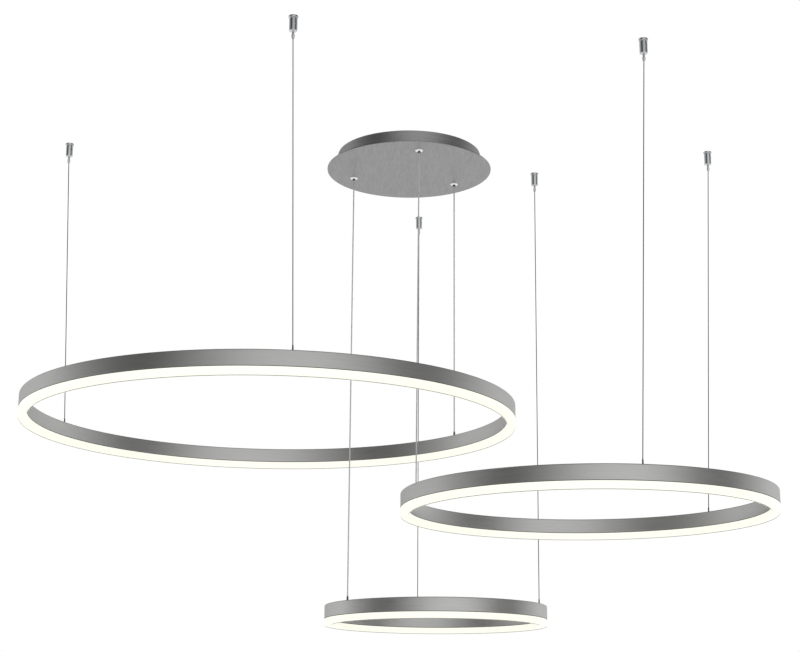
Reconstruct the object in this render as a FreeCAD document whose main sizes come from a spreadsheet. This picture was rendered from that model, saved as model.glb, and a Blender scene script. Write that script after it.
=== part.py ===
import FreeCAD, Part
import Sketcher
import math
import os
import re

# LED ring chandelier. Three rings of aluminium channel with an opal diffuser hang from one round ceiling canopy.
# Each ring hangs on two steel wires, held by adjustable ceiling grippers, and on its own power cord.
# Millimetres, +Z up. The origin is the middle of the canopy's ceiling face, so the ceiling is the plane Z = 0.
# Angles in plan start at the front (-Y) and grow towards +X.

sizes = {
    # rings: outer radius, middle in plan, and how far the top face hangs below the ceiling
    "large_radius": 400,
    "large_x": -226.5,
    "large_y": -195,
    "large_drop": 509.3,
    "medium_radius": 300,
    "medium_x": 287.5,
    "medium_y": -211.5,
    "medium_drop": 653.3,
    "small_radius": 200,
    "small_x": 52.5,
    "small_y": 162.5,
    "small_drop": 800.3,
    # aluminium channel, open below
    "channel_width": 13,
    "channel_height": 24.5,
    "channel_wall": 1.3,
    # opal diffuser: a bar flush with the channel, with a tongue that plugs into it
    "diffuser_height": 11,
    "tongue_height": 5,
    "tongue_gap": 0.15,
    # straight circuit boards, end to end under the channel's top wall
    "board_width": 8,
    "board_thickness": 1,
    "board_count": 48,
    # suspension points: three on each ring and three on the canopy, a third of a turn apart
    "hang_angle": 9,
    "third_turn": 120,
    "wire_diameter": 1.5,
    "cord_diameter": 2.6,
    "thread_gap": 0.1,
    "wire_gap": 0.2,
    "wire_insert": 3,
    # wire anchor and cord inlet, screwed into the channel's top wall
    "anchor_diameter": 3.4,
    "anchor_height": 8,
    "inlet_diameter": 4.4,
    "inlet_height": 7,
    "shank_step": 0.4,
    # how far each ceiling gripper stands away from the point above its anchor
    "large_front_splay_x": -10.3,
    "large_front_splay_y": -1,
    "large_left_splay_x": -18.9,
    "large_left_splay_y": -4.5,
    "medium_front_splay_x": 19.6,
    "medium_front_splay_y": -11,
    "medium_right_splay_x": 24.2,
    "medium_right_splay_y": -4,
    "small_right_splay_x": 3.1,
    "small_right_splay_y": -5.5,
    "small_back_splay_x": 0.4,
    "small_back_splay_y": 0,
    # ceiling gripper: screwed-on cap, barrel and spring-loaded release plunger
    "cap_diameter": 14.4,
    "cap_thickness": 3,
    "stub_diameter": 7,
    "stub_length": 4,
    "screw_hole": 4.4,
    "barrel_diameter": 12,
    "barrel_length": 21.1,
    "barrel_lip": 2,
    "guide_bore": 5.2,
    "guide_gap": 0.1,
    "guide_length": 6,
    "plunger_diameter": 3.4,
    "plunger_length": 12,
    "collar_diameter": 5.2,
    "collar_tip_diameter": 4,
    "collar_length": 6,
    "exit_hole": 2.4,
    "exit_depth": 9.6,
    "exit_angle": 41.5,
    # canopy: face plate, can and the strip that is screwed to the ceiling; a value after "=" follows from others
    "plate_radius": 148.7,
    "plate_thickness": 2.5,
    "plate_overhang": 19.2,
    "can_radius": "=plate_radius - plate_overhang",
    "can_depth": 26.1,
    "can_wall": 1.2,
    "flange_width": 8,
    "bracket_width": 28,
    "bracket_thickness": 2,
    "bracket_gap": 0.4,
    "ear_height": 14,
    "ear_screw_depth": 9,
    "slot_spacing": 150,
    "slot_length": 24,
    "slot_width": 5.5,
    "grub_diameter": 4,
    "grub_length": 9,
    # cable glands under the canopy, with their locknuts, on a circle inside the can's flange
    "gland_margin": 12.8,
    "gland_circle": "=can_radius - flange_width - gland_margin",
    "stem_diameter": 8,
    "gland_diameter": 14.6,
    "gland_rim": 0.8,
    "gland_shoulder_diameter": 12,
    "gland_shoulder": 2.6,
    "gland_nose": 5.6,
    "gland_height": 4.5,
    "nut_width": 13,
    "nut_height": 3,
    # drivers and terminal block, on the face plate inside the canopy
    "driver_end_gap": 48,
    "driver_length": "=2 * (can_radius - driver_end_gap)",
    "driver_width": 38,
    "driver_height": 18,
    "driver_corner": 4,
    "driver_offset": 19,
    "terminal_length": 36,
    "terminal_width": 18,
    "terminal_height": 14,
    "terminal_offset": 64,
    "terminal_ways": 3,
    "entry_side": 6,
    "entry_depth": 9,
}

# For each ring: the place of its cord and of its two wires, in thirds of a turn from the hang angle. Some stand
# a little to one side of their third, as they do on the real rings.
rings = {
    "large": {"cord": 0.993, "wires": {"front": 0, "left": 1.992}, "gland": 1},
    "medium": {"cord": 2, "wires": {"front": 0, "right": 1}, "gland": 0},
    "small": {"cord": 2.48, "wires": {"right": 0.5, "back": 1.5}, "gland": 2},
}

doc = FreeCAD.newDocument("RingChandelier")
sheet = doc.addObject("Spreadsheet::Sheet", "Sizes")
for row, (name, value) in enumerate(sizes.items(), start=1):
    sheet.set(f"A{row}", name)
    sheet.set(f"B{row}", str(value))
    sheet.setAlias(f"B{row}", name)
doc.recompute()

parts = []


# The sheet's names have an underscore, so they can be told from functions and numbers.
def bound(text):
    return re.sub(r"[a-z]+(?:_[a-z]+)+", lambda word: "Sizes." + word.group(0), text)


def amount(text):
    value = sheet.evalExpression(bound(text))
    return float(value)


def subPart(kind, label):
    part = doc.addObject(kind, label)
    part.Label = label
    parts.append(part)
    return part


def moveTo(part, x, y, z):
    for axis, text in zip("xyz", (x, y, z)):
        part.setExpression("Placement.Base." + axis, bound(text))


def sketchOn(body, plane, name):
    sketch = body.newObject("Sketcher::SketchObject", name)
    origin_planes = body.Origin.OriginFeatures
    support = next(item for item in origin_planes if item.Role == plane)
    sketch.AttachmentSupport = (support, [""])
    sketch.MapMode = "FlatFace"
    return sketch


def holdPoint(sketch, geometry, point, x, y):
    for kind, text in (("DistanceX", x), ("DistanceY", y)):
        number = sketch.addConstraint(Sketcher.Constraint(kind, -1, 1, geometry, point, amount(text)))
        sketch.setExpression(f"Constraints[{number}]", bound(text))


# A closed outline of straight edges. Each corner is held at its own distances from the origin.
def outline(sketch, corners):
    first = sketch.GeometryCount
    last = len(corners) - 1
    spots = [FreeCAD.Vector(amount(x), amount(y), 0) for x, y in corners]
    for i in range(len(corners)):
        sketch.addGeometry(Part.LineSegment(spots[i], spots[0 if i == last else i + 1]), False)
    for i in range(len(corners)):
        after = first if i == last else first + i + 1
        sketch.addConstraint(Sketcher.Constraint("Coincident", first + i, 2, after, 1))
    for i, (x, y) in enumerate(corners):
        holdPoint(sketch, first + i, 1, x, y)


def roundHole(sketch, x, y, diameter):
    middle = FreeCAD.Vector(amount(x), amount(y), 0)
    number = sketch.addGeometry(Part.Circle(middle, FreeCAD.Vector(0, 0, 1), amount(diameter) / 2), False)
    holdPoint(sketch, number, 3, x, y)
    size = sketch.addConstraint(Sketcher.Constraint("Diameter", number, amount(diameter)))
    sketch.setExpression(f"Constraints[{size}]", bound(diameter))


# A turned piece: half its section beside the Z axis, as (radius, height) corners.
def turned(label, corners):
    body = subPart("PartDesign::Body", label)
    sketch = sketchOn(body, "XZ_Plane", label + "_section")
    outline(sketch, corners)
    revolution = body.newObject("PartDesign::Revolution", label + "_turn")
    revolution.Profile = sketch
    revolution.ReferenceAxis = (sketch, ["V_Axis"])
    revolution.Angle = 360
    body.Tip = revolution
    return body


def cut(body, sketch, name, **settings):
    before = body.Tip
    pocket = body.newObject("PartDesign::Pocket", name)
    pocket.Profile = sketch
    for key, value in settings.items():
        if isinstance(value, str) and key != "Type":
            pocket.setExpression(key, bound(value))
        else:
            setattr(pocket, key, value)
    body.Tip = pocket
    doc.recompute()
    if not pocket.Shape.Volume < before.Shape.Volume - 1e-6:
        raise RuntimeError(name + " cuts nothing")
    return pocket


def turnAngle(thirds):
    return f"(hang_angle + {thirds} * third_turn)"


# The point on a circle in plan, at a number of thirds of a turn from the hang angle.
def onCircle(radius, thirds, x="0", y="0"):
    angle = turnAngle(thirds)
    return f"{x} + ({radius}) * sin({angle} * 1 deg)", f"{y} - ({radius}) * cos({angle} * 1 deg)"


def ringMiddle(ring):
    return f"{ring}_x", f"{ring}_y"


def hangRadius(ring):
    return f"{ring}_radius - channel_width / 2"


# Aluminium channel, open below, with a hole in its top wall at each suspension point.
def housing(ring, layout):
    outside, inside = f"{ring}_radius", f"{ring}_radius - channel_width"
    body = turned(f"{ring}_housing", [
        (inside, "0"),
        (outside, "0"),
        (outside, "-channel_height"),
        (f"{outside} - channel_wall", "-channel_height"),
        (f"{outside} - channel_wall", "-channel_wall"),
        (f"{inside} + channel_wall", "-channel_wall"),
        (f"{inside} + channel_wall", "-channel_height"),
        (inside, "-channel_height"),
    ])
    doc.recompute()
    holes = sketchOn(body, "XY_Plane", f"{ring}_housing_holes")
    for thirds in layout["wires"].values():
        x, y = onCircle(hangRadius(ring), thirds)
        roundHole(holes, x, y, "anchor_diameter - 2 * shank_step + 2 * thread_gap")
    x, y = onCircle(hangRadius(ring), layout["cord"])
    roundHole(holes, x, y, "inlet_diameter - 2 * shank_step + 2 * thread_gap")
    cut(body, holes, f"{ring}_housing_drilled", Length="channel_wall")
    moveTo(body, *ringMiddle(ring), f"-{ring}_drop")


# Opal diffuser: flush with the channel's walls, its shoulders against their lower edges.
def diffuser(ring):
    outside, inside = f"{ring}_radius", f"{ring}_radius - channel_width"
    step = "channel_wall + tongue_gap"
    body = turned(f"{ring}_diffuser", [
        (f"{inside} + {step}", "tongue_height"),
        (f"{outside} - ({step})", "tongue_height"),
        (f"{outside} - ({step})", "0"),
        (outside, "0"),
        (outside, "-diffuser_height"),
        (inside, "-diffuser_height"),
        (inside, "0"),
        (f"{inside} + {step}", "0"),
    ])
    moveTo(body, *ringMiddle(ring), f"-{ring}_drop - channel_height")


# Straight boards end to end: a flat ring with as many sides as there are boards.
def ledBoard(ring):
    rims = {}
    for rim, side in (("outer", "+"), ("inner", "-")):
        prism = doc.addObject("Part::Prism", f"{ring}_board_{rim}")
        prism.setExpression("Polygon", bound("board_count"))
        prism.setExpression("Circumradius", bound(f"{hangRadius(ring)} {side} board_width / 2"))
        prism.setExpression("Height", bound("board_thickness"))
        rims[rim] = prism
    board = subPart("Part::Cut", f"{ring}_led_board")
    board.Base = rims["outer"]
    board.Tool = rims["inner"]
    moveTo(board, *ringMiddle(ring), f"-{ring}_drop - channel_wall - board_thickness")


# Small turned sleeve on the channel's top face: a thinner shank goes through the wall.
def sleeve(label, ring, thirds, kind, held):
    outer = f"{kind}_diameter / 2"
    shank = f"{kind}_diameter / 2 - shank_step"
    bore = f"{held}_diameter / 2 + wire_gap"
    body = turned(label, [
        (bore, f"{kind}_height"),
        (outer, f"{kind}_height"),
        (outer, "0"),
        (shank, "0"),
        (shank, "-channel_wall"),
        (bore, "-channel_wall"),
    ])
    x, y = onCircle(hangRadius(ring), thirds, *ringMiddle(ring))
    moveTo(body, x, y, f"-{ring}_drop")


# Where a ceiling gripper stands, in plan.
def gripperSpot(ring, place, thirds):
    x, y = onCircle(hangRadius(ring), thirds, *ringMiddle(ring))
    return f"{x} + {ring}_{place}_splay_x", f"{y} + {ring}_{place}_splay_y"


# Cap: a flange against the ceiling and a threaded stub, with a hole for the ceiling screw.
def gripperCap(ring, place, thirds):
    body = turned(f"{ring}_gripper_cap_{place}", [
        ("screw_hole / 2", "0"),
        ("cap_diameter / 2", "0"),
        ("cap_diameter / 2", "-cap_thickness"),
        ("stub_diameter / 2", "-cap_thickness"),
        ("stub_diameter / 2", "-cap_thickness - stub_length"),
        ("screw_hole / 2", "-cap_thickness - stub_length"),
    ])
    moveTo(body, *gripperSpot(ring, place, thirds), "0")


# Barrel: screwed onto the cap's stub. The plunger's guide runs in its bore and stops on the lip at its lower end.
# Spare wire leaves through the hole in its side, which faces the front right.
def gripperBarrel(ring, place, thirds):
    label = f"{ring}_gripper_barrel_{place}"
    socket = "stub_diameter / 2 + thread_gap"
    floor = "-stub_length - thread_gap"
    lip_hole = "plunger_diameter / 2 + 2 * guide_gap"
    body = turned(label, [
        (socket, "0"),
        ("barrel_diameter / 2", "0"),
        ("barrel_diameter / 2", "-barrel_length"),
        (lip_hole, "-barrel_length"),
        (lip_hole, "-barrel_length + barrel_lip"),
        ("guide_bore / 2", "-barrel_length + barrel_lip"),
        ("guide_bore / 2", floor),
        (socket, floor),
    ])
    doc.recompute()
    side = sketchOn(body, "YZ_Plane", label + "_side")
    roundHole(side, "0", "-exit_depth", "exit_hole")
    cut(body, side, label + "_exit", Length="barrel_diameter", Reversed=True)
    moveTo(body, *gripperSpot(ring, place, thirds), "-cap_thickness")
    body.setExpression("Placement.Rotation.Angle", bound("(exit_angle - 90) * 1 deg"))


# Release plunger: a guide inside the barrel, a thin nipple below it and a tapered collar to push it up by.
# The wire runs through it.
def gripperPlunger(ring, place, thirds):
    bore = "wire_diameter / 2 + wire_gap"
    guide = "guide_bore / 2 - guide_gap"
    tip = "-plunger_length - barrel_lip"
    body = turned(f"{ring}_gripper_plunger_{place}", [
        (bore, "guide_length"),
        (guide, "guide_length"),
        (guide, "guide_gap"),
        ("plunger_diameter / 2", "guide_gap"),
        ("plunger_diameter / 2", f"{tip} + collar_length"),
        ("collar_diameter / 2", f"{tip} + collar_length"),
        ("collar_tip_diameter / 2", tip),
        (bore, tip),
    ])
    moveTo(body, *gripperSpot(ring, place, thirds), "-cap_thickness - barrel_length + barrel_lip")


# A straight wire or cord between two points.
def strand(label, diameter, top, bottom):
    start = FreeCAD.Vector(*[amount(text) for text in top])
    end = FreeCAD.Vector(*[amount(text) for text in bottom])
    part = subPart("Part::Feature", label)
    part.Shape = Part.makeCylinder(amount(diameter) / 2, (end - start).Length, start, end - start)
    print(f"{label}: {(end - start).Length:.1f} mm long")


def ringWire(ring, place, thirds):
    plunger_tip = "-cap_thickness - barrel_length - plunger_length"
    top = (*gripperSpot(ring, place, thirds), f"{plunger_tip} + wire_insert")
    anchor = onCircle(hangRadius(ring), thirds, *ringMiddle(ring))
    bottom = (*anchor, f"-{ring}_drop + anchor_height - wire_insert")
    strand(f"{ring}_wire_{place}", "wire_diameter", top, bottom)


def ringCord(ring, layout):
    gland = onCircle("gland_circle", layout["gland"])
    top = (*gland, "-can_depth - plate_thickness - gland_height + wire_insert")
    inlet = onCircle(hangRadius(ring), layout["cord"], *ringMiddle(ring))
    bottom = (*inlet, f"-{ring}_drop + inlet_height - wire_insert")
    strand(f"{ring}_cord", "cord_diameter", top, bottom)


# Cable gland: a stem through the face plate and a low dome under it that closes round the cord.
def gland(ring, layout):
    bore = "cord_diameter / 2 + wire_gap"
    stem_top = "plate_thickness + nut_height + 1"
    body = turned(f"{ring}_gland", [
        (bore, stem_top),
        ("stem_diameter / 2", stem_top),
        ("stem_diameter / 2", "0"),
        ("gland_diameter / 2", "0"),
        ("gland_diameter / 2", "-gland_rim"),
        ("gland_shoulder_diameter / 2", "-gland_shoulder"),
        ("gland_nose / 2", "-gland_height"),
        (bore, "-gland_height"),
    ])
    moveTo(body, *onCircle("gland_circle", layout["gland"]), "-can_depth - plate_thickness")


def glandNut(ring, layout):
    blank = doc.addObject("Part::Prism", f"{ring}_nut_blank")
    blank.Polygon = 6
    blank.setExpression("Circumradius", bound("nut_width / 2 / cos(30 deg)"))
    blank.setExpression("Height", bound("nut_height"))
    hole = doc.addObject("Part::Cylinder", f"{ring}_nut_hole")
    hole.setExpression("Radius", bound("stem_diameter / 2 + thread_gap"))
    hole.setExpression("Height", bound("nut_height"))
    nut = subPart("Part::Cut", f"{ring}_gland_nut")
    nut.Base = blank
    nut.Tool = hole
    moveTo(nut, *onCircle("gland_circle", layout["gland"]), "-can_depth")


# Can: a thin wall up to the ceiling, with an inner flange that carries the face plate.
def canopyCan():
    inside = "can_radius - can_wall"
    body = turned("canopy_can", [
        (inside, "0"),
        ("can_radius", "0"),
        ("can_radius", "-can_depth"),
        ("can_radius - flange_width", "-can_depth"),
        ("can_radius - flange_width", "-can_depth + can_wall"),
        (inside, "-can_depth + can_wall"),
    ])
    doc.recompute()
    holes = sketchOn(body, "YZ_Plane", "canopy_can_holes")
    roundHole(holes, "0", "-ear_screw_depth", "grub_diameter + 2 * thread_gap")
    cut(body, holes, "canopy_can_drilled", Type="ThroughAll", Midplane=True)


# Face plate: a thin disc wider than the can, with three gland holes.
def canopyFacePlate():
    body = subPart("PartDesign::Body", "canopy_face_plate")
    disc = sketchOn(body, "XY_Plane", "canopy_face_plate_disc")
    roundHole(disc, "0", "0", "2 * plate_radius")
    pad = body.newObject("PartDesign::Pad", "canopy_face_plate_pad")
    pad.Profile = disc
    pad.setExpression("Length", bound("plate_thickness"))
    body.Tip = pad
    doc.recompute()
    holes = sketchOn(body, "XY_Plane", "canopy_face_plate_holes")
    for layout in rings.values():
        x, y = onCircle("gland_circle", layout["gland"])
        roundHole(holes, x, y, "stem_diameter + 2 * thread_gap")
    cut(body, holes, "canopy_face_plate_drilled", Type="ThroughAll", Midplane=True)
    moveTo(body, "0", "0", "-can_depth - plate_thickness")


# Ceiling strip, folded down at both ends into an ear for a grub screw, with two slots for the ceiling screws.
ear_face = "(sqrt((can_radius - can_wall)^2 - (bracket_width / 2)^2) - bracket_gap)"


def canopyBracket():
    body = subPart("PartDesign::Body", "canopy_bracket")
    fold = sketchOn(body, "XZ_Plane", "canopy_bracket_fold")
    outline(fold, [
        (f"-{ear_face}", "0"),
        (ear_face, "0"),
        (ear_face, "-ear_height"),
        (f"{ear_face} - bracket_thickness", "-ear_height"),
        (f"{ear_face} - bracket_thickness", "-bracket_thickness"),
        (f"-{ear_face} + bracket_thickness", "-bracket_thickness"),
        (f"-{ear_face} + bracket_thickness", "-ear_height"),
        (f"-{ear_face}", "-ear_height"),
    ])
    pad = body.newObject("PartDesign::Pad", "canopy_bracket_strip")
    pad.Profile = fold
    pad.Midplane = True
    pad.setExpression("Length", bound("bracket_width"))
    body.Tip = pad
    doc.recompute()
    slots = sketchOn(body, "XY_Plane", "canopy_bracket_slots")
    for side in ("-", ""):
        slot(slots, f"{side}slot_spacing / 2")
    cut(body, slots, "canopy_bracket_slotted", Type="ThroughAll", Midplane=True)
    tapped = sketchOn(body, "YZ_Plane", "canopy_bracket_tapped")
    roundHole(tapped, "0", "-ear_screw_depth", "grub_diameter + 2 * thread_gap")
    cut(body, tapped, "canopy_bracket_drilled", Type="ThroughAll", Midplane=True)


# A slot with round ends along X.
def slot(sketch, x):
    end = "(slot_length - slot_width) / 2"
    left, right = amount(f"{x} - {end}"), amount(f"{x} + {end}")
    radius = amount("slot_width / 2")
    up = FreeCAD.Vector(0, 0, 1)
    quarter = math.pi / 2
    first = sketch.GeometryCount
    sketch.addGeometry(Part.ArcOfCircle(Part.Circle(FreeCAD.Vector(left, 0, 0), up, radius), quarter, 3 * quarter), False)
    sketch.addGeometry(Part.ArcOfCircle(Part.Circle(FreeCAD.Vector(right, 0, 0), up, radius), -quarter, quarter), False)
    sketch.addGeometry(Part.LineSegment(FreeCAD.Vector(left, -radius, 0), FreeCAD.Vector(right, -radius, 0)), False)
    sketch.addGeometry(Part.LineSegment(FreeCAD.Vector(right, radius, 0), FreeCAD.Vector(left, radius, 0)), False)
    joins = ((0, 2, 2, 1), (2, 2, 1, 1), (1, 2, 3, 1), (3, 2, 0, 1))
    for a, end_a, b, end_b in joins:
        sketch.addConstraint(Sketcher.Constraint("Tangent", first + a, end_a, first + b, end_b))
    size = sketch.addConstraint(Sketcher.Constraint("Radius", first, radius))
    sketch.setExpression(f"Constraints[{size}]", bound("slot_width / 2"))
    holdPoint(sketch, first, 3, f"{x} - {end}", "0")
    holdPoint(sketch, first + 1, 3, f"{x} + {end}", "0")


# Grub screws that hold the can on the strip's ears, flush with its wall.
def grubScrew(label, angle):
    screw = subPart("Part::Cylinder", label)
    screw.setExpression("Radius", bound("grub_diameter / 2"))
    screw.setExpression("Height", bound("grub_length"))
    screw.Placement.Rotation = FreeCAD.Rotation(FreeCAD.Vector(0, 1, 0), angle)
    side = "-" if angle > 0 else ""
    moveTo(screw, f"{side}(can_radius - can_wall / 2)", "0", "-ear_screw_depth")


# A block with rounded upright edges on the face plate.
def block(label, size, x, y):
    body = subPart("PartDesign::Body", label)
    base = sketchOn(body, "XY_Plane", label + "_base")
    half_length, half_width = f"{size}_length / 2", f"{size}_width / 2"
    outline(base, [
        (f"-{half_length}", f"-{half_width}"),
        (half_length, f"-{half_width}"),
        (half_length, half_width),
        (f"-{half_length}", half_width),
    ])
    pad = body.newObject("PartDesign::Pad", label + "_pad")
    pad.Profile = base
    pad.setExpression("Length", bound(f"{size}_height"))
    body.Tip = pad
    doc.recompute()
    moveTo(body, x, y, "-can_depth")
    return body, pad


def ledDriver(label, side):
    body, pad = block(label, "driver", "0", f"{side}(driver_offset + driver_width / 2)")
    upright = [f"Edge{i}" for i, edge in enumerate(pad.Shape.Edges, start=1)
               if abs(edge.tangentAt(edge.FirstParameter).z) > 0.9]
    corners = body.newObject("PartDesign::Fillet", label + "_corners")
    corners.Base = (pad, upright)
    corners.setExpression("Radius", bound("driver_corner"))
    body.Tip = corners


def terminalBlock():
    body, pad = block("terminal_block", "terminal", "0", "-terminal_offset - terminal_width / 2")
    entries = sketchOn(body, "XY_Plane", "terminal_block_entries")
    ways = int(amount("terminal_ways"))
    for i in range(ways):
        x = f"terminal_length * ({i} + 0.5) / terminal_ways - terminal_length / 2"
        half = "entry_side / 2"
        outline(entries, [
            (f"{x} - {half}", f"-{half}"),
            (f"{x} + {half}", f"-{half}"),
            (f"{x} + {half}", half),
            (f"{x} - {half}", half),
        ])
    entries.setExpression("AttachmentOffset.Base.z", bound("terminal_height"))
    cut(body, entries, "terminal_block_opened", Length="entry_depth")


canopyBracket()
canopyCan()
canopyFacePlate()
grubScrew("canopy_screw_left", 90)
grubScrew("canopy_screw_right", -90)
ledDriver("led_driver_front", "-")
ledDriver("led_driver_back", "")
terminalBlock()
for ring, layout in rings.items():
    housing(ring, layout)
    diffuser(ring)
    ledBoard(ring)
    sleeve(f"{ring}_cord_inlet", ring, layout["cord"], "inlet", "cord")
    ringCord(ring, layout)
    gland(ring, layout)
    glandNut(ring, layout)
    for place, thirds in layout["wires"].items():
        sleeve(f"{ring}_anchor_{place}", ring, thirds, "anchor", "wire")
        ringWire(ring, place, thirds)
        gripperCap(ring, place, thirds)
        gripperBarrel(ring, place, thirds)
        gripperPlunger(ring, place, thirds)

doc.recompute()
for item in doc.Objects:
    if "Invalid" in item.State or "Error" in item.State:
        raise RuntimeError(f"{item.Label} failed: {item.State}")
for part in parts:
    if part.Shape.isNull() or not part.Shape.isValid():
        raise RuntimeError(f"{part.Label} has no valid shape")

os.makedirs("parts", exist_ok=True)
for part in parts:
    part.Shape.exportStep(f"parts/{part.Label}.step")
print(f"{len(parts)} sub-parts written")
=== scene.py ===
import bpy
import bmesh
import math
from mathutils import Matrix, Vector


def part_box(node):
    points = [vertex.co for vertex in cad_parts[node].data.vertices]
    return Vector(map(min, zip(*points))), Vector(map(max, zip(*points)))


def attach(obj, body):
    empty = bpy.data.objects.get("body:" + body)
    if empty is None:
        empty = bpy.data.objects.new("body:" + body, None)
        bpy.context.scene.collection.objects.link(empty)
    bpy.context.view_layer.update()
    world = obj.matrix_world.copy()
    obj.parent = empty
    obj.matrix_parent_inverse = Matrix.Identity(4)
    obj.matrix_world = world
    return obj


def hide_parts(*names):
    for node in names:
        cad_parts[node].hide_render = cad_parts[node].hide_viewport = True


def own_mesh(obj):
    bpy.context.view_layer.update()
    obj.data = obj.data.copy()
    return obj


# Chandelier of three lit rings, hung on steel wires and clear power cords from a round ceiling canopy.
# The dictionaries give sizes in millimetres. Everything is built in metres, in the frame's own place.

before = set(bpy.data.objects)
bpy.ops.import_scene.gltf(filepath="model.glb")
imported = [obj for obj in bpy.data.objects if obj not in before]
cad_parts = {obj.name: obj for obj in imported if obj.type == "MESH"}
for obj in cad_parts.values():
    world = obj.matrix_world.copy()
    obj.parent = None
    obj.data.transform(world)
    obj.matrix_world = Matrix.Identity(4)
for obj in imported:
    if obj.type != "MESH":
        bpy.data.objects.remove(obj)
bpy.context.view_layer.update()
mm = 0.001
up = Vector((0, 0, 1))

# Camera: below the rings' plane and tilted up, as the photograph was taken
cameraView = {"place": (-14.8, -2792, -1047.3), "tiltUp": 14.587, "roll": 0.353, "lens": 72.96}

# Suspension points in plan, in millimetres from the middle of the canopy
ringPlan = {
    "large": {"middle": (-226.5, -195), "radius": 400, "steps": 320, "rise": 440},
    "medium": {"middle": (287.5, -211.5), "radius": 300, "steps": 256, "rise": 90},
    "small": {"middle": (52.5, 162.5), "radius": 200, "steps": 192, "rise": 90},
}
wirePlan = {
    ("large", "front"): {"gripper": (-175.24, -584.66), "anchor": (-164.94, -583.66)},
    ("large", "left"): {"gripper": (-610.35, -52.35), "anchor": (-591.45, -47.85)},
    ("medium", "front"): {"gripper": (353.01, -512.39), "anchor": (333.41, -501.39)},
    ("medium", "right"): {"gripper": (539.79, -30.79), "anchor": (515.59, -26.79)},
    ("small", "right"): {"gripper": (236.25, 87.66), "anchor": (233.15, 93.16)},
    ("small", "back"): {"gripper": (22.63, 353.62), "anchor": (22.23, 353.62)},
}
cordPlan = {
    "large": {"gland": (84.48, 68.41), "inlet": (82.90, 48.13)},
    "medium": {"gland": (17.00, -107.36), "inlet": (13.49, -106.32)},
    "small": {"gland": (-101.48, 38.95), "inlet": (-102.85, 47.13)},
}


# Camera

cameraData = bpy.data.cameras.new("camera")
cameraData.sensor_width = 36
cameraData.lens = cameraView["lens"]
cameraData.clip_end = 100
camera = bpy.data.objects.new("camera", cameraData)
bpy.context.collection.objects.link(camera)
tilt = Matrix.Rotation(math.radians(90 + cameraView["tiltUp"]), 4, "X")
roll = Matrix.Rotation(math.radians(cameraView["roll"]), 4, "Z")
camera.matrix_world = Matrix.Translation(Vector(cameraView["place"]) * mm) @ tilt @ roll
bpy.context.scene.camera = camera
print("camera set")


# Materials

def linear(code):
    parts = [int(code[i:i + 2], 16) / 255 for i in (1, 3, 5)]
    return [c / 12.92 if c <= 0.04045 else ((c + 0.055) / 1.055) ** 2.4 for c in parts] + [1.0]


# Adds a node. An input that is given a socket is linked to it, any other input is set.
def addNode(tree, kind, inputs=None, **settings):
    node = tree.nodes.new("ShaderNode" + kind)
    for key, value in settings.items():
        setattr(node, key, value)
    for key, value in (inputs or {}).items():
        if isinstance(value, bpy.types.NodeSocket):
            tree.links.new(value, node.inputs[key])
        else:
            node.inputs[key].default_value = value
    return node


def newMaterial(name, colour, sockets):
    material = bpy.data.materials.new(name)
    material.use_nodes = True
    shader = material.node_tree.nodes["Principled BSDF"]
    shader.inputs["Base Color"].default_value = linear(colour)
    for key, value in sockets.items():
        shader.inputs[key].default_value = value
    return material


# Grain: soft noise on Object coordinates, its grains stretched to grain = (x, y, z) millimetres.
# It shades the colour by tone, the roughness by sheen, and the surface by relief millimetres.
def addGrain(material, colour, grain, tone, sheen, relief):
    tree = material.node_tree
    shader = tree.nodes["Principled BSDF"]
    place = addNode(tree, "TexCoord")
    stretch = addNode(tree, "Mapping", {"Vector": place.outputs["Object"],
                                        "Scale": [1 / (side * mm) for side in grain]})
    noise = addNode(tree, "TexNoise", {"Vector": stretch.outputs[0], "Scale": 1.0, "Detail": 3.0,
                                       "Roughness": 0.6})
    base = Vector(linear(colour)[:3])
    # a colour mix shares its socket names with the number one, so its sockets go by place: 0, 6 and 7
    shade = addNode(tree, "Mix", {0: noise.outputs["Fac"], 6: (*(base * (1 - tone)), 1),
                                  7: (*(base * (1 + tone)), 1)}, data_type="RGBA")
    tree.links.new(shade.outputs[2], shader.inputs["Base Color"])
    middle = shader.inputs["Roughness"].default_value
    spread = addNode(tree, "MapRange", {"Value": noise.outputs["Fac"], "To Min": middle - sheen,
                                        "To Max": middle + sheen})
    tree.links.new(spread.outputs[0], shader.inputs["Roughness"])
    bump = addNode(tree, "Bump", {"Height": noise.outputs["Fac"], "Distance": relief * mm, "Strength": 1.0})
    tree.links.new(bump.outputs[0], shader.inputs["Normal"])


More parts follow.
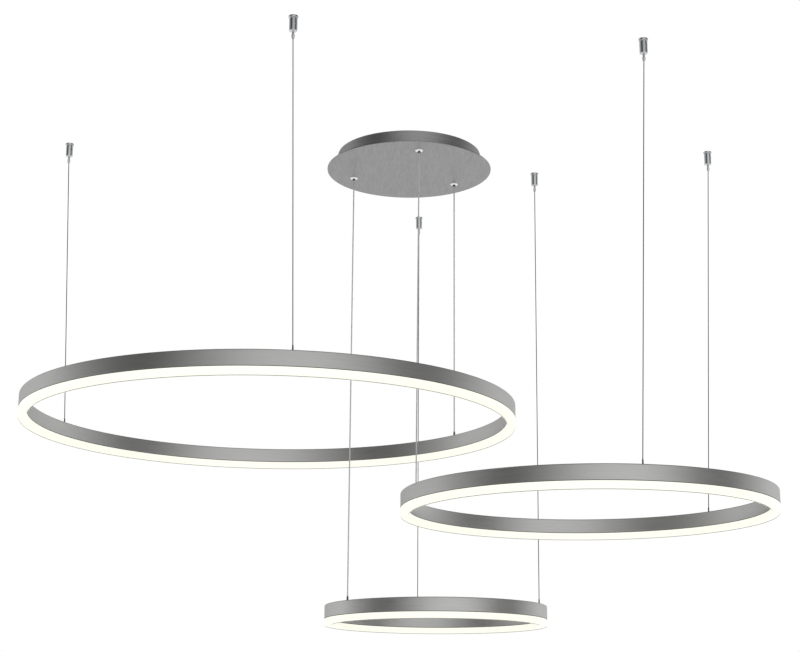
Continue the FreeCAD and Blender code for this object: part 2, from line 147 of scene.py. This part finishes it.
finishes = {
    # extruded channel, satin anodised in titanium grey: long faint drawing lines along the ring
    "anodisedTitanium": {"colour": "#BABAB9", "metallic": 1.0, "roughness": 0.36, "grain": (60, 60, 1.6),
                         "tone": 0.14, "sheen": 0.05, "relief": 0.02},
    # spun can wall, same colour: turning lines run round it
    "spunTitanium": {"colour": "#A2A2A2", "metallic": 1.0, "roughness": 0.42, "grain": (50, 50, 1.8),
                     "tone": 0.30, "sheen": 0.06, "relief": 0.02},
    # brushed face plate, same colour: straight strokes, drawn 3 mm wide, coarser than real ones, to show
    "brushedTitanium": {"colour": "#9F9F9F", "metallic": 1.0, "roughness": 0.42, "grain": (3, 26, 3),
                        "tone": 0.32, "sheen": 0.06, "relief": 0.02},
    # chrome on turned brass: mirror bright, with only the faintest waviness
    "chromePlate": {"colour": "#CBCDCF", "metallic": 1.0, "roughness": 0.05, "grain": (3, 3, 3),
                    "tone": 0.02, "sheen": 0.02, "relief": 0.004},
    # bright plated dome of the cord glands: mirror bright and paler than the grippers
    "brightPlate": {"colour": "#EDEEEE", "metallic": 1.0, "roughness": 0.06, "grain": (3, 3, 3),
                    "tone": 0.02, "sheen": 0.02, "relief": 0.004},
    # dark nickel on small turned parts: satin with turning lines
    "darkNickel": {"colour": "#5E5C5A", "metallic": 1.0, "roughness": 0.34, "grain": (5, 5, 0.25),
                   "tone": 0.10, "sheen": 0.06, "relief": 0.01},
    # stainless rope wire: nearly black against the pale background, with a half bright glint
    "stainlessWire": {"colour": "#3C3C3B", "metallic": 1.0, "roughness": 0.38, "grain": (0.4, 0.4, 6),
                      "tone": 0.08, "sheen": 0.05, "relief": 0.004},
    # tinned strands seen through the clear sheath: silvery, half matt drawn metal
    "tinnedCopper": {"colour": "#DADBDC", "metallic": 1.0, "roughness": 0.35, "grain": (0.5, 0.5, 4),
                     "tone": 0.08, "sheen": 0.05, "relief": 0.004},
    # zinc plated pressed steel: bluish, with a cloudy passivation bloom
    "zincPlate": {"colour": "#C3C6CB", "metallic": 1.0, "roughness": 0.32, "grain": (9, 9, 9),
                  "tone": 0.10, "sheen": 0.08, "relief": 0.01},
    # injection moulded driver case: warm white with a fine spark-eroded texture
    "mouldedCase": {"colour": "#DEDDD8", "metallic": 0.0, "roughness": 0.55, "grain": (0.8, 0.8, 0.8),
                    "tone": 0.03, "sheen": 0.05, "relief": 0.03},
    # polyamide terminal block: slightly translucent looking, semi-matt
    "terminalNylon": {"colour": "#E6E4DC", "metallic": 0.0, "roughness": 0.42, "grain": (2, 2, 2),
                      "tone": 0.03, "sheen": 0.04, "relief": 0.01},
    # rubber seal in the mouth of each gland: dull black
    "sealRubber": {"colour": "#1D1D1D", "metallic": 0.0, "roughness": 0.60, "grain": (0.6, 0.6, 0.6),
                   "tone": 0.10, "sheen": 0.08, "relief": 0.02},
    # white solder mask on the boards: even, slightly glossy
    "solderMask": {"colour": "#ECECE8", "metallic": 0.0, "roughness": 0.38, "grain": (6, 6, 6),
                   "tone": 0.02, "sheen": 0.03, "relief": 0.005},
    # opal acrylic, lit from inside: even warm white with a soft surface gloss, faintly rippled from moulding
    "opalAcrylic": {"colour": "#A9A8A4", "metallic": 0.0, "roughness": 0.35, "grain": (12, 12, 12),
                    "tone": 0.03, "sheen": 0.05, "relief": 0.02,
                    "sockets": {"Emission Color": linear("#FFFFEE"), "Emission Strength": 0.64}},
    # painted shade on the inner walls of the cover's two lips: a darker copy of the opal acrylic, without its
    # glow
    "opalLipPaintedShade": {"colour": "#66665F", "metallic": 0.0, "roughness": 0.40, "grain": (5, 5, 5),
                "tone": 0.06, "sheen": 0.05, "relief": 0.01},
    # painted shade in the shadow gap between the channel and its cover: near black and dull
    "gapPaintedShade": {"colour": "#1C1C1B", "metallic": 0.0, "roughness": 0.70, "grain": (0.8, 0.8, 0.8),
                  "tone": 0.15, "sheen": 0.08, "relief": 0.03},
    # thin clear PVC sheath of the power cord: see-through, faintly milky gloss, drawing lines along it
    "clearSheath": {"colour": "#F4F5F3", "metallic": 0.0, "roughness": 0.08, "grain": (0.5, 0.5, 12),
                    "tone": 0.02, "sheen": 0.03, "relief": 0.002, "sockets": {"IOR": 1.5, "Alpha": 0.1}},
}
materials = {}
for name, finish in finishes.items():
    materials[name] = newMaterial(name, finish["colour"], {"Metallic": finish["metallic"],
                                                           "Roughness": finish["roughness"],
                                                           **finish.get("sockets", {})})
    addGrain(materials[name], *[finish[key] for key in ("colour", "grain", "tone", "sheen", "relief")])
print("materials made")


# Shapes

# Corners of an outline are (radius, height) or (radius, height, rounding), in millimetres.
# An outline that starts and ends on the axis is left open there; any other one is closed.
def turnedShape(outline, steps, segments=3):
    bm = bmesh.new()
    corners = [bm.verts.new((corner[0] * mm, 0, corner[1] * mm)) for corner in outline]
    onAxis = outline[0][0] == 0 and outline[-1][0] == 0
    ends = corners[1:] if onAxis else corners[1:] + corners[:1]
    for start, end in zip(corners, ends):
        bm.edges.new((start, end))
    for rounding in sorted({corner[2] for corner in outline if len(corner) > 2}):
        chosen = [vert for vert, corner in zip(corners, outline) if corner[2:] == (rounding,)]
        bmesh.ops.bevel(bm, geom=chosen, offset=rounding * mm, offset_type="OFFSET", segments=segments,
                        profile=0.5, affect="VERTICES", material=-1)
    bmesh.ops.spin(bm, geom=bm.verts[:] + bm.edges[:], cent=(0, 0, 0), axis=up, angle=2 * math.pi,
                   steps=steps, use_merge=True)
    if onAxis:
        bmesh.ops.remove_doubles(bm, verts=bm.verts, dist=1e-6)
    bmesh.ops.recalc_face_normals(bm, faces=bm.faces)
    return bm


def moveTo(bm, x, y, z):
    bmesh.ops.translate(bm, verts=bm.verts, vec=(x * mm, y * mm, z * mm))


# Adds a second shape to the first one
def join(bm, other):
    extra = bpy.data.meshes.new("extra")
    other.to_mesh(extra)
    other.free()
    bm.from_mesh(extra)
    bpy.data.meshes.remove(extra)


# Makes the piece of a shape. Its faces are smooth up to the sharp angle, and flat faces stay flat.
def newPiece(name, bm, body, nodes, finishNames, sharpAngle=40):
    mesh = bpy.data.meshes.new(name)
    bm.to_mesh(mesh)
    bm.free()
    for finishName in finishNames:
        mesh.materials.append(materials[finishName])
    mesh.shade_smooth()
    mesh.set_sharp_from_angle(angle=math.radians(sharpAngle))
    piece = bpy.data.objects.new(name, mesh)
    bpy.context.collection.objects.link(piece)
    weighted = piece.modifiers.new("flatFaces", "WEIGHTED_NORMAL")
    weighted.keep_sharp = True
    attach(piece, body)
    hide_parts(*nodes)
    return piece


# Wires and cords

wireRope = {"diameter": 1.5, "strands": 6, "layLength": 11, "stepsPerTurn": 8, "sides": 6}
powerCord = {"diameter": 2.6, "sheathSides": 24, "screen": 2.3, "strands": 13, "strand": 0.46,
             "layLength": 16, "stepsPerTurn": 10, "sides": 5, "coreSides": 10}


# The line of a strand between two places in plan: a smooth curve, read back as plain points
def routeLine(node, above, below):
    low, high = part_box(node)
    start = Vector((*[v * mm for v in above], high.z))
    end = Vector((*[v * mm for v in below], low.z))
    route = [start, (start + end) / 2, end]
    curve = bpy.data.curves.new(node, "CURVE")
    curve.dimensions = "3D"
    spline = curve.splines.new("NURBS")
    spline.points.add(len(route) - 1)
    for point, place in zip(spline.points, route):
        point.co = (*place, 1)
    spline.order_u = 3
    spline.use_endpoint_u = True
    holder = bpy.data.objects.new(node, curve)
    mesh = bpy.data.meshes.new_from_object(holder)
    line = [vert.co.copy() for vert in mesh.vertices]
    bpy.data.meshes.remove(mesh)
    bpy.data.objects.remove(holder)
    bpy.data.curves.remove(curve)
    return line, start, end


# The mesh of an object with its modifiers carried out, as a shape; the object is used up
def carriedOut(item):
    mesh = bpy.data.meshes.new_from_object(item.evaluated_get(bpy.context.evaluated_depsgraph_get()))
    bpy.data.objects.remove(item)
    bm = bmesh.new()
    bm.from_mesh(mesh)
    bpy.data.meshes.remove(mesh)
    return bm


def newHolder(name, bm):
    mesh = bpy.data.meshes.new(name)
    bm.to_mesh(mesh)
    bm.free()
    holder = bpy.data.objects.new(name, mesh)
    bpy.context.collection.objects.link(holder)
    return holder


# Twisted strands round the Z axis, from the origin down
def twistedBundle(rope, around, thickness, length):
    bm = bmesh.new()
    for i in range(rope["strands"]):
        turn = Matrix.Rotation(2 * math.pi * i / rope["strands"], 4, "Z")
        shift = Matrix.Translation((around * mm, 0, 0))
        bmesh.ops.create_circle(bm, radius=thickness / 2 * mm, segments=rope["sides"], matrix=turn @ shift)
    strands = newHolder("strands", bm)
    turns = length / (rope["layLength"] * mm)
    twist = strands.modifiers.new("twist", "SCREW")
    twist.angle = 2 * math.pi * turns
    twist.screw_offset = -length
    twist.steps = twist.render_steps = round(turns * rope["stepsPerTurn"])
    return carriedOut(strands)


def straightTube(thickness, sides, length):
    bm = bmesh.new()
    bmesh.ops.create_circle(bm, radius=thickness / 2 * mm, segments=sides)
    bmesh.ops.spin(bm, geom=bm.verts[:] + bm.edges[:], cent=(0, 0, 0), axis=up, angle=0,
                   dvec=(0, 0, -length), steps=1)
    return bm


# Closes the ends of a strand and lays it along its line
def layAlong(bm, line):
    bmesh.ops.holes_fill(bm, edges=[edge for edge in bm.edges if edge.is_boundary], sides=0)
    bmesh.ops.recalc_face_normals(bm, faces=bm.faces)
    lean = (-up).rotation_difference(line[-1] - line[0]).to_matrix()
    bmesh.ops.rotate(bm, verts=bm.verts, cent=(0, 0, 0), matrix=lean)
    bmesh.ops.translate(bm, verts=bm.verts, vec=line[0])


# The strand gets a mesh of its own.
def hangStrand(piece):
    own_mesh(piece)


for (ring, place), plan in wirePlan.items():
    node = f"{ring}_wire_{place}"
    line, start, end = routeLine(node, plan["gripper"], plan["anchor"])
    span = (end - start).length
    strand = wireRope["diameter"] / 3
    bm = twistedBundle(wireRope, strand, strand, span)
    join(bm, straightTube(strand, wireRope["sides"], span))
    layAlong(bm, line)
    piece = newPiece(f"{ring}WireRope{place.capitalize()}", bm, "root", [node],
                     ["stainlessWire"])
    hangStrand(piece)

for ring, plan in cordPlan.items():
    node = f"{ring}_cord"
    line, start, end = routeLine(node, plan["gland"], plan["inlet"])
    span = (end - start).length
    bm = straightTube(powerCord["diameter"], powerCord["sheathSides"], span)
    around = (powerCord["screen"] - powerCord["strand"]) / 2
    join(bm, twistedBundle(powerCord, around, powerCord["strand"], span))
    join(bm, straightTube(2 * around, powerCord["coreSides"], span))
    layAlong(bm, line)
    # faces that lie outside the strands belong to the sheath
    sheathRadius = (powerCord["screen"] + powerCord["diameter"]) / 4 * mm
    axisLine = (end - start).normalized()
    for face in bm.faces:
        away = face.verts[0].co - start
        inSheath = (away - axisLine * away.dot(axisLine)).length > sheathRadius
        face.material_index = 0 if inSheath else 1
    piece = newPiece(f"{ring}PowerCord", bm, "root", [node], ["clearSheath", "tinnedCopper"])
    hangStrand(piece)
print("wires and cords made")


# Rings

channel = {"width": 13, "wall": 1.3, "topRounding": 1.5, "lowRounding": 0.2, "shadowGap": 0.9}
cover = {"tongue": 5, "tongueRounding": 0.2, "clearance": 0.15, "neck": 1.0, "lip": 0.6, "lipHeight": 0.8,
         "lipRounding": 0.15, "edgeRounding": 0.25}

for ring, plan in ringPlan.items():
    low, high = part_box(f"{ring}_housing")
    top, bottom = high.z / mm, low.z / mm
    outside, inside = plan["radius"], plan["radius"] - channel["width"]
    wall, edge, soft = channel["wall"], channel["topRounding"], channel["lowRounding"]
    gapTop = bottom + channel["shadowGap"]
    bm = turnedShape([
        (inside, top, edge),
        (outside, top, edge),
        (outside, gapTop, soft),
        (outside - wall, gapTop, soft),
        (outside - wall, top - wall),
        (inside + wall, top - wall),
        (inside + wall, gapTop, soft),
        (inside, gapTop, soft),
    ], plan["steps"])
    moveTo(bm, *plan["middle"], 0)
    newPiece(f"{ring}RingChannel", bm, f"{ring}_ring", [f"{ring}_housing"],
             ["anodisedTitanium"])

    # The opal cover: its tongue stands in the channel, its neck leaves the shadow gap open under the
    # channel's walls, and two low lips run along its lower edges.
    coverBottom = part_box(f"{ring}_diffuser")[0].z / mm
    neck, lip = cover["neck"], cover["lip"]
    tongueEdge, lipEdge, coverEdge = cover["tongueRounding"], cover["lipRounding"], cover["edgeRounding"]
    recess = coverBottom + cover["lipHeight"]
    step = wall + cover["clearance"]
    bm = turnedShape([
        (inside + step, bottom + cover["tongue"], tongueEdge),
        (outside - step, bottom + cover["tongue"], tongueEdge),
        (outside - step, gapTop),
        (outside - neck, gapTop),
        (outside - neck, bottom),
        (outside, bottom, lipEdge),
        (outside, coverBottom, coverEdge),
        (outside - lip, coverBottom, lipEdge),
        (outside - lip, recess),
        (inside + lip, recess),
        (inside + lip, coverBottom, lipEdge),
        (inside, coverBottom, coverEdge),
        (inside, bottom, lipEdge),
        (inside + neck, bottom),
        (inside + neck, gapTop),
        (inside + step, gapTop),
    ], plan["steps"])
    # The inner walls of the lips and the faces in the shadow gap take painted shade. The next strip outside
    # the gap, in the lip's rounding, has its middle 0.01 mm below it, so the gap's margin is half of that.
    lipMargin, gapMargin = 0.05, 0.005
    for face in bm.faces:
        height = face.calc_center_median().z / mm
        away = face.calc_center_median().xy.length / mm
        upright = abs(face.normal.z) < 0.5
        paintedLipShade = upright and height < recess and inside + lip - lipMargin < away < outside - lip + lipMargin
        paintedGapShade = bottom - gapMargin < height < gapTop + gapMargin
        face.material_index = 2 if paintedGapShade else int(paintedLipShade)
    moveTo(bm, *plan["middle"], 0)
    newPiece(f"{ring}RingCover", bm, f"{ring}_ring", [f"{ring}_diffuser"],
             ["opalAcrylic", "opalLipPaintedShade", "gapPaintedShade"])
print("rings made")


# Wire anchors and cord inlets on the rings

anchor = {"foot": 3.4, "footHeight": 0.7, "waist": 2.5, "tip": 2.1, "bore": 1.7, "shank": 2.6, "steps": 32}
inlet = {"foot": 4.4, "footHeight": 0.8, "waist": 3.5, "tip": 3.1, "bore": 2.7, "shank": 3.6, "steps": 40}
groove = {"place": 0.45, "depth": 0.2, "width": 0.3}


# A tapered sleeve on a thin foot, with a turned groove at its waist. Its shank goes through the channel's
# top wall.
def sleeve(size, foot, height):
    footRadius, waist, tip, bore, shank = [size[key] / 2 for key in ("foot", "waist", "tip", "bore", "shank")]
    rim, grooveTop = foot + size["footHeight"], foot + groove["place"] * height
    depth, width = groove["depth"], groove["width"]
    return turnedShape([
        (bore, foot + height, 0.1),
        (tip, foot + height, 0.15),
        (waist, grooveTop, 0.1),
        (waist - depth, grooveTop - depth),
        (waist - depth, grooveTop - depth - width),
        (waist, grooveTop - 2 * depth - width, 0.1),
        (waist, rim),
        (footRadius, rim, 0.25),
        (footRadius, foot, 0.1),
        (shank, foot),
        (shank, foot - channel["wall"]),
        (bore, foot - channel["wall"]),
    ], size["steps"])


def addSleeve(name, ring, node, size, place):
    low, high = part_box(node)
    foot = low.z / mm + channel["wall"]
    bm = sleeve(size, foot, high.z / mm - foot)
    moveTo(bm, *place, 0)
    newPiece(name, bm, f"{ring}_ring", [node], ["darkNickel"])


for (ring, place), plan in wirePlan.items():
    addSleeve(f"{ring}WireAnchor{place.capitalize()}", ring, f"{ring}_anchor_{place}", anchor, plan["anchor"])
for ring, plan in cordPlan.items():
    addSleeve(f"{ring}CordInlet", ring, f"{ring}_cord_inlet", inlet, plan["inlet"])
print("anchors and inlets made")


# Ceiling grippers

gripper = {"cap": 14.4, "capThickness": 3, "neck": 10, "neckLength": 1.1, "stub": 7, "stubLength": 4,
           "screwHole": 4.4, "barrel": 12, "barrelBottom": 24.1, "lip": 2, "bore": 5.2, "nippleHole": 3.8,
           "nipple": 3.4, "collar": 5.2, "collarTip": 4, "collarLength": 6, "wireBore": 1.9, "guide": 6,
           "clearance": 0.1, "steps": 48}
exitHole = {"diameter": 2.4, "bush": 3.6, "bushLength": 1.2, "bushInset": 0.15, "depth": 12.6, "angle": 41.5,
            "proud": 0.35, "steps": 24}


def gripperCap():
    g = gripper
    flange = -g["capThickness"]
    return turnedShape([
        (g["screwHole"] / 2, 0),
        (g["cap"] / 2, 0, 0.3),
        (g["cap"] / 2, flange, 0.6),
        (g["neck"] / 2, flange, 0.3),
        (g["neck"] / 2, flange - g["neckLength"]),
        (g["stub"] / 2, flange - g["neckLength"]),
        (g["stub"] / 2, flange - g["stubLength"], 0.3),
        (g["screwHole"] / 2, flange - g["stubLength"]),
    ], g["steps"])


def gripperBarrel():
    g = gripper
    head = -g["capThickness"] - g["neckLength"]
    low = -g["barrelBottom"]
    boreTop = -g["capThickness"] - g["stubLength"] - g["clearance"]
    return turnedShape([
        (g["stub"] / 2 + g["clearance"], head),
        (g["barrel"] / 2, head, 0.5),
        (g["barrel"] / 2, low, 0.8),
        (g["nippleHole"] / 2, low, 0.2),
        (g["nippleHole"] / 2, low + g["lip"]),
        (g["bore"] / 2, low + g["lip"]),
        (g["bore"] / 2, boreTop),
        (g["stub"] / 2 + g["clearance"], boreTop),
    ], g["steps"])


def gripperPlunger(tip):
    g = gripper
    base = -g["barrelBottom"] + g["lip"]
    return turnedShape([
        (g["wireBore"] / 2, base + g["guide"]),
        (g["bore"] / 2 - g["clearance"], base + g["guide"], 0.2),
        (g["bore"] / 2 - g["clearance"], base + g["clearance"], 0.1),
        (g["nipple"] / 2, base + g["clearance"]),
        (g["nipple"] / 2, tip + g["collarLength"], 0.15),
        (g["collar"] / 2, tip + g["collarLength"], 0.4),
        (g["collarTip"] / 2, tip, 0.5),
        (g["wireBore"] / 2, tip, 0.15),
    ], g["steps"])


# Turned along Z, then laid on its side to face the direction in which the spare wire leaves
def towardsExit(bm):
    direction = math.radians(exitHole["angle"])
    side = Vector((math.sin(direction), -math.cos(direction), 0))
    bmesh.ops.rotate(bm, verts=bm.verts, cent=(0, 0, 0), matrix=up.rotation_difference(side).to_matrix())
    moveTo(bm, 0, 0, -exitHole["depth"])
    return bm


def exitDrill():
    bm = bmesh.new()
    radius = exitHole["diameter"] / 2 * mm
    bmesh.ops.create_cone(bm, cap_ends=True, segments=exitHole["steps"], radius1=radius, radius2=radius,
                          depth=gripper["barrel"] * mm)
    bmesh.ops.translate(bm, verts=bm.verts, vec=(0, 0, gripper["barrel"] / 2 * mm))
    return towardsExit(bm)


def exitBush():
    outer, bore = exitHole["bush"] / 2, exitHole["diameter"] / 2 - exitHole["bushInset"]
    face = gripper["barrel"] / 2 + exitHole["proud"]
    return towardsExit(turnedShape([
        (bore, face, 0.2),
        (outer, face, 0.2),
        (outer, face - exitHole["bushLength"]),
        (bore, face - exitHole["bushLength"]),
    ], exitHole["steps"]))


# The barrel with its side hole drilled and the bush set in it
def drilledBarrel():
    barrel, drill = newHolder("barrel", gripperBarrel()), newHolder("drill", exitDrill())
    difference = barrel.modifiers.new("drill", "BOOLEAN")
    difference.object = drill
    difference.solver = "EXACT"
    bm = carriedOut(barrel)
    bpy.data.objects.remove(drill)
    join(bm, exitBush())
    return bm


for (ring, place), plan in wirePlan.items():
    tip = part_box(f"{ring}_gripper_plunger_{place}")[0].z / mm
    for part, bm, body in (("cap", gripperCap(), "root"), ("barrel", drilledBarrel(), "root"),
                           ("plunger", gripperPlunger(tip), f"{ring}_{place}_plunger")):
        moveTo(bm, *plan["gripper"], 0)
        newPiece(f"{ring}Gripper{part.capitalize()}{place.capitalize()}", bm, body,
                 [f"{ring}_gripper_{part}_{place}"], ["chromePlate"])
print("grippers made")


# Canopy

canopy = {"can": 129.5, "canWall": 1.2, "canDepth": 26.1, "flange": 8, "plate": 148.7, "plateThickness": 2.5,
          "plateRounding": 0.8, "steps": 256}
canBottom = -canopy["canDepth"]
bm = turnedShape([
    (canopy["can"] - canopy["canWall"], 0, 0.2),
    (canopy["can"], 0, 0.4),
    (canopy["can"], canBottom, 0.6),
    (canopy["can"] - canopy["flange"], canBottom),
    (canopy["can"] - canopy["flange"], canBottom + canopy["canWall"], 0.3),
    (canopy["can"] - canopy["canWall"], canBottom + canopy["canWall"], 0.5),
], canopy["steps"])
newPiece("canopyCan", bm, "root", ["canopy_can"], ["spunTitanium"])
plateBottom = canBottom - canopy["plateThickness"]
bm = turnedShape([
    (0, canBottom),
    (canopy["plate"], canBottom, canopy["plateRounding"]),
    (canopy["plate"], plateBottom, canopy["plateRounding"]),
    (0, plateBottom),
], canopy["steps"])
newPiece("canopyFacePlate", bm, "root", ["canopy_face_plate"], ["brushedTitanium"])

gland = {"stem": 8, "stemTop": 6.5, "rim": 14.6, "rimHeight": 0.8, "shoulder": 12, "shoulderHeight": 2.4,
         "seal": 5.8, "sealHeight": 3.1, "nose": 5.2, "height": 4.5, "bore": 2.7, "steps": 64}
for ring, plan in cordPlan.items():
    bm = turnedShape([
        (gland["bore"] / 2, plateBottom + gland["stemTop"]),
        (gland["stem"] / 2, plateBottom + gland["stemTop"], 0.4),
        (gland["stem"] / 2, plateBottom),
        (gland["rim"] / 2, plateBottom, 0.2),
        (gland["rim"] / 2, plateBottom - gland["rimHeight"], 0.5),
        (gland["shoulder"] / 2, plateBottom - gland["shoulderHeight"], 1.1),
        (gland["seal"] / 2, plateBottom - gland["sealHeight"]),
        (gland["nose"] / 2, plateBottom - gland["height"], 0.3),
        (gland["bore"] / 2, plateBottom - gland["height"]),
    ], gland["steps"], segments=5)
    # the mouth of the dome holds the rubber seal
    for face in bm.faces:
        middle = face.calc_center_median() / mm
        inMouth = middle.z < plateBottom - gland["sealHeight"] and middle.xy.length < gland["seal"] / 2
        face.material_index = int(inMouth)
    moveTo(bm, *plan["gland"], 0)
    newPiece(f"{ring}CordGland", bm, "root", [f"{ring}_gland"], ["brightPlate", "sealRubber"])
print("canopy made")


# Frame nodes that keep their shape get their finishes

keptNodes = {
    "canopy_bracket": "zincPlate", "canopy_screw_left": "zincPlate", "canopy_screw_right": "zincPlate",
    "led_driver_front": "mouldedCase", "led_driver_back": "mouldedCase", "terminal_block": "terminalNylon",
}
for ring in ringPlan:
    keptNodes[f"{ring}_gland_nut"] = "darkNickel"
    keptNodes[f"{ring}_led_board"] = "solderMask"
for node, finishName in keptNodes.items():
    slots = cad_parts[node].material_slots
    if not slots:
        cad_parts[node].data.materials.append(materials[finishName])
    for slot in slots:
        slot.material = materials[finishName]


# Floor, light and background

# Metres. The fade ends before the lamps, so that the light they throw on the floor beside them never shows.
floorSize = {"radius": 9, "height": -2.5, "fadeStart": 1.2, "fadeEnd": 3.1, "steps": 96}
bm = bmesh.new()
bmesh.ops.create_circle(bm, cap_ends=True, radius=floorSize["radius"], segments=floorSize["steps"])
bmesh.ops.translate(bm, verts=bm.verts, vec=(0, 0, floorSize["height"]))
mesh = bpy.data.meshes.new("floor")
bm.to_mesh(mesh)
bm.free()
floor = bpy.data.objects.new("floor", mesh)
bpy.context.collection.objects.link(floor)


# What the camera, mirrors and glass see directly, as against what only gives light
def seenDirectly(tree):
    rays = addNode(tree, "LightPath")
    mirrored = addNode(tree, "Math", {0: rays.outputs["Is Glossy Ray"],
                                      1: rays.outputs["Is Transmission Ray"]}, operation="MAXIMUM")
    return addNode(tree, "Math", {0: rays.outputs["Is Camera Ray"], 1: mirrored.outputs[0]},
                   operation="MAXIMUM").outputs[0]


# pale floor paint: it keeps the shadow near the object, and runs out into the white background further off
floorPaint = newMaterial("floorPaint", "#EDEDEB", {"Roughness": 0.8})
addGrain(floorPaint, "#EDEDEB", (60, 60, 60), 0.01, 0.05, 0.1)
mesh.materials.append(floorPaint)
tree = floorPaint.node_tree
place = addNode(tree, "TexCoord")
flat = addNode(tree, "VectorMath", {0: place.outputs["Object"], 1: (1, 1, 0)}, operation="MULTIPLY")
away = addNode(tree, "VectorMath", {0: flat.outputs[0]}, operation="LENGTH")
fade = addNode(tree, "MapRange", {"Value": away.outputs["Value"], "From Min": floorSize["fadeStart"],
                                  "From Max": floorSize["fadeEnd"]}, interpolation_type="SMOOTHSTEP")
share = addNode(tree, "Math", {0: fade.outputs[0], 1: seenDirectly(tree)}, operation="MULTIPLY")
whiteBackground = addNode(tree, "Emission", {"Color": (1, 1, 1, 1), "Strength": 1.0})
blend = addNode(tree, "MixShader", {0: share.outputs[0], 1: tree.nodes["Principled BSDF"].outputs[0],
                                    2: whiteBackground.outputs[0]})
tree.links.new(blend.outputs[0], tree.nodes["Material Output"].inputs["Surface"])

world = bpy.data.worlds.new("studio")
world.use_nodes = True
bpy.context.scene.world = world
tree = world.node_tree
tree.nodes.clear()
# What metal mirrors. Round the object, as turns from the front (-Y) towards +X: a soft box in front, dark to
# both sides of it, and the pale background from there on round the back.
studio = [(-180, 0.32), (-158, 0.62), (-135, 0.84), (-112, 1.05), (-84, 0.48), (-62, 0.12), (-46, 0.13),
          (-24, 0.62), (-2, 1.14), (26, 1.22), (46, 0.85), (62, 0.28), (82, 0.2), (104, 0.72), (128, 1.02),
          (150, 0.82), (180, 0.6)]
# From below to above, by the height of the direction (-1 to 1): pale floor, the full level at the horizon,
# dimmer above it, and half light again overhead for the faces that point up
studioHeights = [(-0.1, 0.9), (0.0, 1.0), (0.1, 1.0), (0.25, 0.87), (0.38, 0.6), (0.55, 0.25), (0.75, 0.28),
                 (0.95, 0.42)]
# What lights all that isn't mirrored: an even grey from all round
softLevel = 0.8


def brightnessRamp(stops, value, lowest, highest):
    share = addNode(tree, "MapRange", {"Value": value, "From Min": lowest, "From Max": highest})
    ramp = addNode(tree, "ValToRGB", {"Fac": share.outputs[0]})
    elements = ramp.color_ramp.elements
    for i, (spot, level) in enumerate(stops):
        position = (spot - lowest) / (highest - lowest)
        element = elements[i] if i < 2 else elements.new(position)
        element.position = position
        element.color = (level, level, level, 1)
    return ramp


direction = addNode(tree, "TexCoord")
parts = addNode(tree, "SeparateXYZ", {"Vector": direction.outputs["Generated"]})
front = addNode(tree, "Math", {0: parts.outputs["Y"], 1: -1.0}, operation="MULTIPLY")
turn = addNode(tree, "Math", {0: parts.outputs["X"], 1: front.outputs[0]}, operation="ARCTAN2")
degrees = addNode(tree, "Math", {0: turn.outputs[0], 1: 180 / math.pi}, operation="MULTIPLY")
around = brightnessRamp(studio, degrees.outputs[0], -180, 180)
around.color_ramp.interpolation = "EASE"
upright = brightnessRamp(studioHeights, parts.outputs["Z"], -1, 1)
mirrored = addNode(tree, "Mix", {0: 1.0, 6: around.outputs["Color"], 7: upright.outputs["Color"]},
                   data_type="RGBA", blend_type="MULTIPLY")
rays = addNode(tree, "LightPath")
glossyLight = addNode(tree, "Background", {"Color": mirrored.outputs[2], "Strength": 1.0})
softLight = addNode(tree, "Background", {"Color": (softLevel, softLevel, softLevel, 1), "Strength": 1.0})
white = addNode(tree, "Background", {"Color": (1, 1, 1, 1), "Strength": 1.0})
lit = addNode(tree, "MixShader", {0: rays.outputs["Is Glossy Ray"], 1: softLight.outputs[0],
                                  2: glossyLight.outputs[0]})
clear = addNode(tree, "Math", {0: rays.outputs["Is Camera Ray"], 1: rays.outputs["Is Transmission Ray"]},
                operation="MAXIMUM")
behind = addNode(tree, "MixShader", {0: clear.outputs[0], 1: lit.outputs[0], 2: white.outputs[0]})
addNode(tree, "OutputWorld", {"Surface": behind.outputs[0]})

# Both give plain soft light only: metal mirrors the studio above, not the lamps.
lamps = {
    "key": {"place": (-2.2, -3.0, 1.6), "size": 2.4, "power": 45},
    "fill": {"place": (1.6, -3.1, -2.1), "size": 2.0, "power": 34},
}
lampAim = Vector((0, 0, -0.5))
for name, lamp in lamps.items():
    data = bpy.data.lights.new(name, "AREA")
    data.size = lamp["size"]
    data.energy = lamp["power"]
    light = bpy.data.objects.new(name, data)
    bpy.context.collection.objects.link(light)
    light.location = lamp["place"]
    light.rotation_euler = (lampAim - light.location).to_track_quat("-Z", "Y").to_euler()
    light.visible_glossy = False
    light.visible_camera = False
print("floor, light and background set")

bpy.context.scene.view_settings.view_transform = "Standard"
